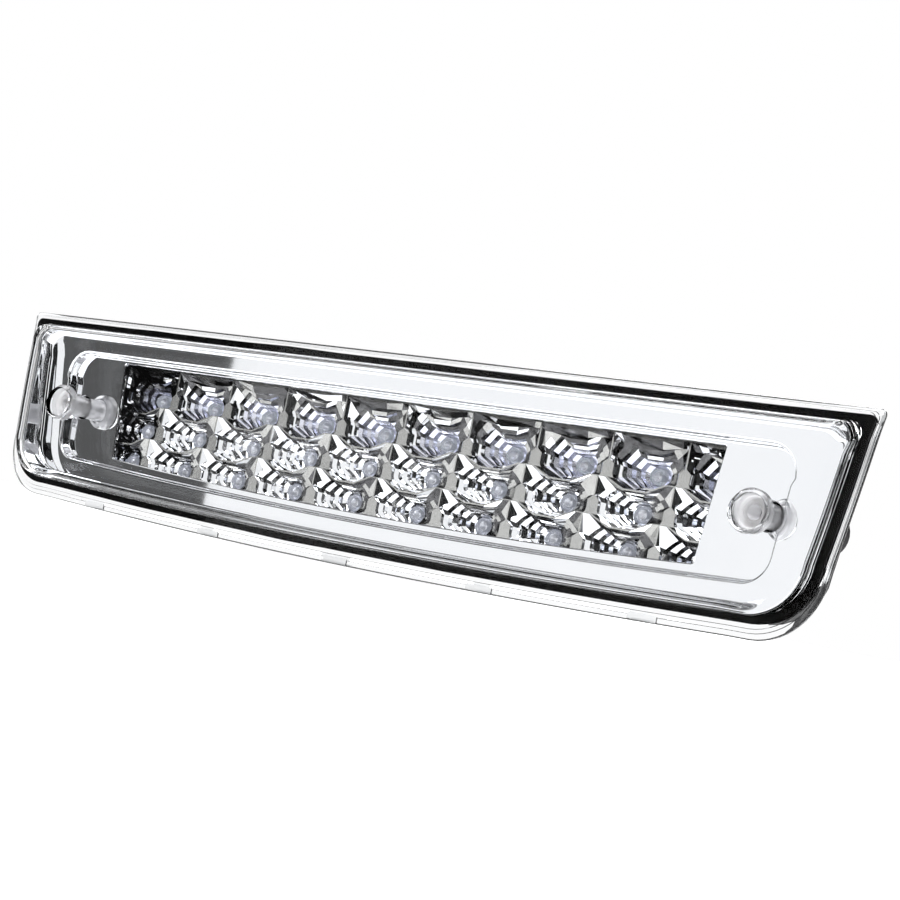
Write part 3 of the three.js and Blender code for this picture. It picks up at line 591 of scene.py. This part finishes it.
def colour_lens(body):
    """Material of each face: 0 clear, 1 frosted pad, 2 milky boss, 3 edge darkened with painted
    shade.
    """
    flange_inner = outline(2.2, 1.6, 3.2, 0)
    flange_edge = outline(0.3, 0.3, 0.3, 0)
    flat = 0.9
    for face in body.data.polygons:
        c = face.center / MM
        depth = c.y + FACE_TILT * (TOP - c.z)
        facing = abs(face.normal.y)
        upright = facing < flat and depth < FLANGE_BACK - 1.3
        on_rim = not within(flange_inner, c.x, c.z)
        # Rim faces that stand upright or lie at the outer edge take the painted shade.
        if on_rim and (upright or not within(flange_edge, c.x, c.z)):
            face.material_index = 3
        if c.y < FLANGE_FRONT - 0.05 and c.z < BOTTOM + 7 and facing > flat:
            near = min(abs(c.x - x) for x in PAD_CENTRES)
            if near < PAD_HALF_WIDTH + 0.05 and c.z < bottom_edge(c.x) + 3.6:
                face.material_index = 1
        radius = math.hypot(abs(c.x) - BOSS_X, c.z - BOSS_Z)
        if radius < CUP_RADIUS + 0.1 and c.y > BOSS_FRONT + 2.6:
            face.material_index = 2


def make_lens():
    body = lens_solid()
    for x in PAD_CENTRES:
        boolean(body, grip_pad(x), "UNION")
    for x in (-BOSS_X, BOSS_X):
        add_boss(body, x)
    finish_object(body, 30)
    add_piece(body, ("lens", "frost", "boss", "edge"), "clear_lens",
              "lens", "screw_boss_left", "screw_boss_right")
    colour_lens(body)


def make_sealant():
    """Bead in the flange groove, with slightly wavy edges where it was pressed out."""
    random.seed(4)
    waves = [(random.uniform(0.03, 0.09), random.uniform(5, 40), random.uniform(0, 6.3))
             for _ in range(9)]

    def wave(point, shift):
        along = (point[0] + 2 * point[1]) / 60 + shift
        return sum(a * math.sin(f * along / 6 + p) for a, f, p in waves)

    gap = 0.06
    floor = FLANGE_BACK - 1.24
    stations = [(BAND_OUT, gap, floor, 0.0), (BAND_OUT, gap, FLANGE_BACK, 0.0),
                (BAND_IN, -gap, FLANGE_BACK, 2.0), (BAND_IN, -gap, floor, 2.0)]
    rings = []
    for band, grow, y, shift in stations:
        ring = outline(*[b + grow for b in band], y)
        rings.append([(px, py, pz + wave((px, pz), shift)) for px, py, pz in ring])
    bead = loft("sealant_bead_fill", rings, True)
    add_piece(finish_object(bead), ("sealant",), "sealant", "sealant_bead")


# ------------------------------------------------------------------ bezel

# Bowl wall: inset from the bead, and share of the way down from the rim to the floor.
BOWL_WALL = [(3.55, 0.0), (3.7, 0.08), (4.0, 0.35), (4.45, 0.62), (5.2, 0.86), (6.2, 0.975),
             (7.2, 1.0)]
# Outline growth and depth of each ring, from the front to the back.
POCKET_WALL = [
    (1.4, BEZEL_FLOOR - 1), (1.4, BEZEL_FLOOR), (1.02, BEZEL_FLOOR + 0.1),
    (0.72, BEZEL_FLOOR + 0.35), (0.5, BEZEL_FLOOR + 0.8), (0.35, BEZEL_FLOOR + 1.8),
    (0.2, POCKET_FLOOR - 0.6), (0.05, POCKET_FLOOR - 0.2), (-0.15, POCKET_FLOOR - 0.05),
    (-0.4, POCKET_FLOOR)]
WINDOW_WALL = [
    (0.35, POCKET_FLOOR - 1), (0.35, POCKET_FLOOR), (0.1, POCKET_FLOOR + 0.15),
    (0.0, POCKET_FLOOR + 0.4), (0.0, POCKET_FLOOR + 3)]


def bezel_solid():
    """Flange and tub, with the metal behind the pocket and the two notches."""
    lip_back = BEZEL_FLOOR + 1.3
    lip_front = FLANGE_BACK + 0.1
    backing = (BEZEL_FLOOR + 0.5, POCKET_FLOOR + 1.3)
    body = loft("chrome_bezel", [
        inside(0.4, lip_back), inside(0.4, lip_front), inside(2.2, lip_front),
        inside(2.5, BEZEL_RIM + 0.8), inside(2.75, BEZEL_RIM + 0.1), inside(2.95, BEZEL_RIM)])
    tub = loft("tub", [inside(2.6, lip_front - 0.3), inside(5.0, lip_back, 0.0)])
    boolean(body, tub, "UNION")
    boolean(body, loft("pocket_back", [pocket_outline(1.5, y) for y in backing]), "UNION")
    for x in (-BOSS_X, BOSS_X):
        stations = [(NOTCH_RADIUS + 1.4, y) for y in backing]
        boolean(body, turned("notch_back", x, BOSS_Z, stations), "UNION")
    return body


def make_bezel():
    body = bezel_solid()
    rings = [inside(3.5, BEZEL_RIM - 1)]
    for extra, down in smooth_stations(BOWL_WALL, 6):
        y = BEZEL_RIM + (BEZEL_FLOOR - BEZEL_RIM) * down
        rings.append(inside(extra, y, 1.0 - down))
    boolean(body, loft("bowl", rings), "DIFFERENCE")
    pocket = loft("pocket", [pocket_outline(g, y) for g, y in POCKET_WALL])
    boolean(body, pocket, "DIFFERENCE")
    for x in (-BOSS_X, BOSS_X):
        notch = turned("notch", x, BOSS_Z, [
            (NOTCH_RADIUS + 1.0, BEZEL_FLOOR - 1), (NOTCH_RADIUS + 1.0, BEZEL_FLOOR),
            (NOTCH_RADIUS + 0.4, BEZEL_FLOOR + 0.25), (NOTCH_RADIUS + 0.1, BEZEL_FLOOR + 0.9),
            (NOTCH_RADIUS - 0.1, POCKET_FLOOR - 0.4), (NOTCH_RADIUS - 0.5, POCKET_FLOOR)], 96)
        boolean(body, notch, "DIFFERENCE")
        hole_radius = TUBE_RADIUS + TUBE_CLEARANCE
        tube_hole = turned("tube_hole", x, BOSS_Z, [
            (hole_radius + 0.4, POCKET_FLOOR - 1), (hole_radius + 0.3, POCKET_FLOOR),
            (hole_radius, POCKET_FLOOR + 0.4), (hole_radius, POCKET_FLOOR + 3)])
        boolean(body, tube_hole, "DIFFERENCE")
    opening = loft("opening", [window_outline(g, y) for g, y in WINDOW_WALL])
    boolean(body, opening, "DIFFERENCE")
    add_piece(finish_object(body, 28), ("chrome",), "chrome", "bezel")


# ------------------------------------------------------------------ reflector and lamps

def lamp_names():
    return [(row, f"lamp_{row + 1}_{column + 1}")
            for row in range(ROWS) for column in range(COLUMNS)]


def lamp_axis(name):
    """The lamp's x, z and foremost y."""
    low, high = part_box(name)
    return (low.x + high.x) / 2 / MM, (low.z + high.z) / 2 / MM, low.y / MM


PITCH_X = lamp_axis("lamp_1_2")[0] - lamp_axis("lamp_1_1")[0]
PITCH_Z = lamp_axis("lamp_1_1")[1] - lamp_axis("lamp_2_1")[1]
FLAT_HALF_WIDTH = 2.0
FLAT_HALF_HEIGHT = 2.8
RIDGE = 0.5


def cup_mouth(row):
    """Opening of a cup in the front face: 16 points, down the right side and up the left."""
    edge = PITCH_X / 2 - RIDGE / 2
    waist = PITCH_X / 2 - FLAT_HALF_WIDTH
    middle = PITCH_Z / 2 - RIDGE / 2
    shoulder = PITCH_Z - FLAT_HALF_HEIGHT - RIDGE / 2
    top = (9.9, 10.6, 10.6) if row == 0 else (middle, shoulder, shoulder)
    right = [(4.0, top[0]), (waist - 0.5, top[1]), (edge, top[2]), (edge, FLAT_HALF_HEIGHT),
             (waist, FLAT_HALF_HEIGHT - 1.3), (waist, 1.3 - FLAT_HALF_HEIGHT),
             (waist - 0.5, shoulder - PITCH_Z + RIDGE), (4.0, -middle)]
    return right + [(-x, z) for x, z in reversed(right)]


CUP_CROWN = 5.2


def cup_outline(lift):
    """Outer edge of the stepped part of a cup: 16 points in the order of its mouth."""
    right = [(3.4, CUP_CROWN), (8.2, 6.9 if lift else 6.4), (10.4, 4.9), (12.6, 2.9), (11.2, 1.2),
             (11.2, -1.2), (10.7, -2.3), (3.4, -5.1)]
    return right + [(-x, z) for x, z in reversed(right)]


# Share of the way from throat to outline, and depth below the rim, of each step's edge.
CUP_STEPS = [(1.0, 0.9), (0.79, 1.25), (0.71, 2.6), (0.52, 3.0), (0.44, 4.5), (0.26, 4.9),
             (0.18, 6.2), (0.0, 6.6), (-0.08, 7.5)]
THROAT = 3.3
# The top row's cups are taller and start deeper than the others.
TOP_ROW_LIFT = 2.0
TOP_ROW_SINK = 0.9
SLAB_DEPTH = 9.2


def make_cup(row, x, z, rim, shuffle):
    """One cup cut: flat stepped sectors that run from the mouth down to the lamp hole."""
    mouth = cup_mouth(row)
    lift, sink = (TOP_ROW_LIFT, TOP_ROW_SINK) if row == 0 else (0.0, 0)
    edge = cup_outline(lift)
    rings = [[(x + px, POCKET_FLOOR + 1.0, z + pz) for px, pz in mouth],
             [(x + px, rim, z + pz) for px, pz in mouth]]
    if row == 0:
        rings.append([
            (x + px * 0.93, rim + 0.8 + shuffle.uniform(0.0, 1.6) * (pz > 3),
             z + pz - (1.9 if pz > 5 else 0.2) + shuffle.uniform(-0.5, 0.5) * (pz > 3))
            for px, pz in mouth])
    for share, depth in CUP_STEPS:
        ring = []
        for px, pz in edge:
            reach = math.hypot(px, pz)
            scale = (THROAT + (reach - THROAT) * share) / reach
            up = lift * share * share * max(pz, 0) / CUP_CROWN
            ring.append((x + px * scale, rim + depth + sink, z + pz * scale + up))
        rings.append(ring)
    rings.append([(px, BOARD_FRONT, pz) for px, _, pz in rings[-1]])
    return loft("cup", rings)


def colour_reflector(body, cups, shuffle):
    """Material of each face: 0 facets, 1 painted grey reflection on flats and some facets, 2
    painted blue reflection round the top row's lamps, 3 painted dark reflection.
    """
    crown = cups[0][1] + 3.6
    for face in body.data.polygons:
        centre = face.center / MM
        normal = face.normal
        # Flat fronts take the painted grey reflection.
        if normal.y < -0.995:
            face.material_index = 1
            continue
        # Facets facing down or left, and those above the crown, take a painted dark or grey
        # reflection at random.
        if normal.z < -0.3 and abs(normal.x) < 0.75:
            face.material_index = shuffle.choice((3, 3, 1, 0))
        elif normal.x < -0.03 and normal.y < -0.85:
            face.material_index = shuffle.choice((3, 1, 3))
        elif centre.z > crown:
            face.material_index = shuffle.choice((3, 3, 1, 0, 0))
        for x, z, tip, row in cups:
            # Faces round each top-row lamp take the painted blue reflection.
            beside = -8.5 < centre.x - x < 4.5 and -4.0 < centre.z - z < 4.2
            if row == 0 and centre.y > tip - 3.8 and beside:
                face.material_index = 2


def make_reflector():
    shoulder = PITCH_Z - FLAT_HALF_HEIGHT
    shuffle = random.Random(11)
    body = None
    for row in range(ROWS):
        _, z, tip = lamp_axis(f"lamp_{row + 1}_1")
        rim = tip - LAMP_TIP_DEPTH
        top = REFLECTOR_TOP if row == 0 else z + shoulder
        bottom = REFLECTOR_BOTTOM if row == ROWS - 1 else z - PITCH_Z / 2
        slab = block("slab", (-REFLECTOR_HALF, rim, bottom),
                     (REFLECTOR_HALF, rim + SLAB_DEPTH, top))
        body = slab if body is None else boolean(body, slab, "UNION")
    cups = [lamp_axis(name) + (row,) for row, name in lamp_names()]
    for x, z, tip, row in cups:
        boolean(body, make_cup(row, x, z, tip - LAMP_TIP_DEPTH, shuffle), "DIFFERENCE")
    body.name = "faceted_reflector"
    body.data.shade_flat()
    add_piece(body, ("facets", "painted_grey_reflection", "painted_blue_reflection", "painted_dark_reflection"), "reflector", "reflector_array")
    colour_reflector(body, cups, shuffle)


def lamp_profile(tip, base):
    """Domed tip, straight side and foot flange, as (radius, y) from the tip back."""
    dome = []
    for i in range(1, 13):
        angle = math.radians(90 * i / 12)
        dome.append((LAMP_RADIUS * math.sin(angle), tip + LAMP_RADIUS * (1 - math.cos(angle))))
    return dome + [
        (LAMP_RADIUS, base - 1.25), (2.6, base - 1.15), (2.78, base - 1.1), (2.8, base - 1.0),
        (2.8, base - 0.1), (2.7, base)]


def make_lamps():
    for _, name in lamp_names():
        x, z, tip = lamp_axis(name)
        base = tip + LAMP_LENGTH
        body = turned(f"{name}_body", x, z, lamp_profile(tip, base), 40)
        add_piece(finish_object(body, 40), ("epoxy",), "lamp_epoxy", name)
        cup = turned(f"{name}_die_cup", x - 0.35, z, [
            (0.25, tip + 3.6), (0.9, tip + 2.9), (1.0, tip + 2.95), (1.0, tip + 3.5),
            (0.45, tip + 4.3), (0.3, base - 0.3)], 24)
        add_piece(finish_object(cup, 30), ("steel",), "steel")
        for side, word in ((-1, "left"), (1, "right")):
            middle = x + side * LEG_OFFSET
            leg = block(f"{name}_leg_{word}",
                        (middle - LEG_HALF, base - 0.3, z - LEG_HALF),
                        (middle + LEG_HALF, BOARD_FRONT - 0.05, z + LEG_HALF), 0.05)
            add_piece(finish_object(leg), ("steel",), "steel")


# ------------------------------------------------------------------ carried-over nodes

def finish_nodes():
    plan = {
        "circuit_board": "board", "diode": "dark", "capacitor": "steel",
        "lead_positive": "lead_red", "lead_negative": "lead_black", "housing": "housing",
        "rear_seal": "foam", "boss_seal_left": "rubber", "boss_seal_right": "rubber",
        "connector_shell": "dark", "terminal_positive": "brass", "terminal_negative": "brass",
        "vent_cap": "rubber",
    }
    for i in range(1, 5):
        plan[f"board_screw_{i}"] = "steel"
        plan[f"resistor_{i}"] = "dark"
    for name, mat in plan.items():
        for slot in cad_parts[name].material_slots:
            slot.material = MATS[mat]


# ------------------------------------------------------------------ stage and light

def make_floor():
    size = 3.0
    z = cad_box[0][2] - 0.0002
    mesh = bpy.data.meshes.new("floor")
    mesh.from_pydata([(-size, -size, z), (size, -size, z), (size, size, z), (-size, size, z)],
                     [], [(0, 1, 2, 3)])
    floor = bpy.data.objects.new("floor", mesh)
    bpy.context.scene.collection.objects.link(floor)
    mat, nodes, links, shader = material("pale_floor")
    texture = noise(nodes, links, 3.0, 2.0)
    colour = ramp(nodes, links, texture.outputs["Fac"],
                  [(0.2, (0.93, 0.93, 0.935)), (0.9, (0.95, 0.95, 0.95))])
    links.new(colour.outputs["Color"], shader.inputs["Base Color"])
    set_inputs(shader, Roughness=0.7, Emission_Color=(1, 1, 1, 1), Emission_Strength=0.8)
    floor.data.materials.append(mat)


# Where each light or dark band starts, and its brightness. A bearing of 0 is straight out of the
# lens (-Y) and a negative one is towards -X, the left as seen from the front.
BEARING_BANDS = [(-180, 1.0), (-94, 0.02), (-80, 1.0), (-64, 0.1), (-46.9, 1.03), (-11, 0.02),
                 (22, 1.0), (36, 0.02), (112, 1.0)]
HEIGHT_BANDS = [(-1.0, 1.0), (-0.45, 0.05), (-0.3, 1.0), (0.3, 0.05), (0.5, 1.0), (0.8, 0.05)]


def world_math(nodes, links, operation, first, second):
    """Math node on two inputs, each an output socket or a number."""
    node = nodes.new("ShaderNodeMath")
    node.operation = operation
    for socket, value in zip(node.inputs, (first, second)):
        if isinstance(value, float):
            socket.default_value = value
        else:
            links.new(value, socket)
    return node.outputs[0]


def bands(nodes, links, source, low, high, stops):
    """Hard-edged bands of grey over a source that runs from low to high."""
    share = nodes.new("ShaderNodeMapRange")
    share.inputs["From Min"].default_value = low
    share.inputs["From Max"].default_value = high
    links.new(source, share.inputs["Value"])
    node = ramp(nodes, links, share.outputs["Result"],
                [(position, (value,) * 3) for position, value in stops])
    node.color_ramp.interpolation = "CONSTANT"
    return node.outputs["Color"]


def make_world():
    """White studio with dark flags: direction decides what the chrome mirrors."""
    world = bpy.data.worlds.new("studio")
    bpy.context.scene.world = world
    world.use_nodes = True
    nodes = world.node_tree.nodes
    links = world.node_tree.links
    coords = nodes.new("ShaderNodeTexCoord")
    split = nodes.new("ShaderNodeSeparateXYZ")
    links.new(coords.outputs["Generated"], split.inputs["Vector"])
    forward = world_math(nodes, links, "MULTIPLY", split.outputs["Y"], -1.0)
    bearing = world_math(nodes, links, "ARCTAN2", split.outputs["X"], forward)
    walls = bands(nodes, links, bearing, -math.pi, math.pi,
                  [((degrees + 180) / 360, value) for degrees, value in BEARING_BANDS])
    layers = bands(nodes, links, split.outputs["Z"], -1, 1,
                   [((height + 1) / 2, value) for height, value in HEIGHT_BANDS])
    mix = nodes.new("ShaderNodeMix")
    mix.data_type = "RGBA"
    mix.blend_type = "MULTIPLY"
    mix.inputs["Factor"].default_value = 1.0
    links.new(walls, mix.inputs["A"])
    links.new(layers, mix.inputs["B"])
    background = nodes["Background"]
    links.new(mix.outputs["Result"], background.inputs["Color"])
    # The banded studio is for reflections only; the backdrop itself is plain white.
    plain = nodes.new("ShaderNodeBackground")
    plain.inputs["Color"].default_value = (1, 1, 1, 1)
    path = nodes.new("ShaderNodeLightPath")
    choose = nodes.new("ShaderNodeMixShader")
    links.new(path.outputs["Is Camera Ray"], choose.inputs[0])
    links.new(background.outputs[0], choose.inputs[1])
    links.new(plain.outputs[0], choose.inputs[2])
    links.new(choose.outputs[0], nodes["World Output"].inputs["Surface"])


def area_light(name, place, size, power):
    """Rectangular light that points at the lamp's origin."""
    data = bpy.data.lights.new(name, "AREA")
    data.shape = "RECTANGLE"
    data.size, data.size_y = size
    data.energy = power
    light = bpy.data.objects.new(name, data)
    light.location = place
    light.rotation_euler = (-Vector(place)).to_track_quat("-Z", "Y").to_euler()
    bpy.context.scene.collection.objects.link(light)


make_lens()
make_sealant()
make_bezel()
make_reflector()
make_lamps()
finish_nodes()
make_floor()
make_world()
area_light("key", (0.2, -0.9, 1.3), (1.2, 0.8), 18)
area_light("rear_fill", (-0.5, 1.2, 0.9), (1.0, 0.8), 14)
bpy.context.scene.view_settings.view_transform = "Standard"
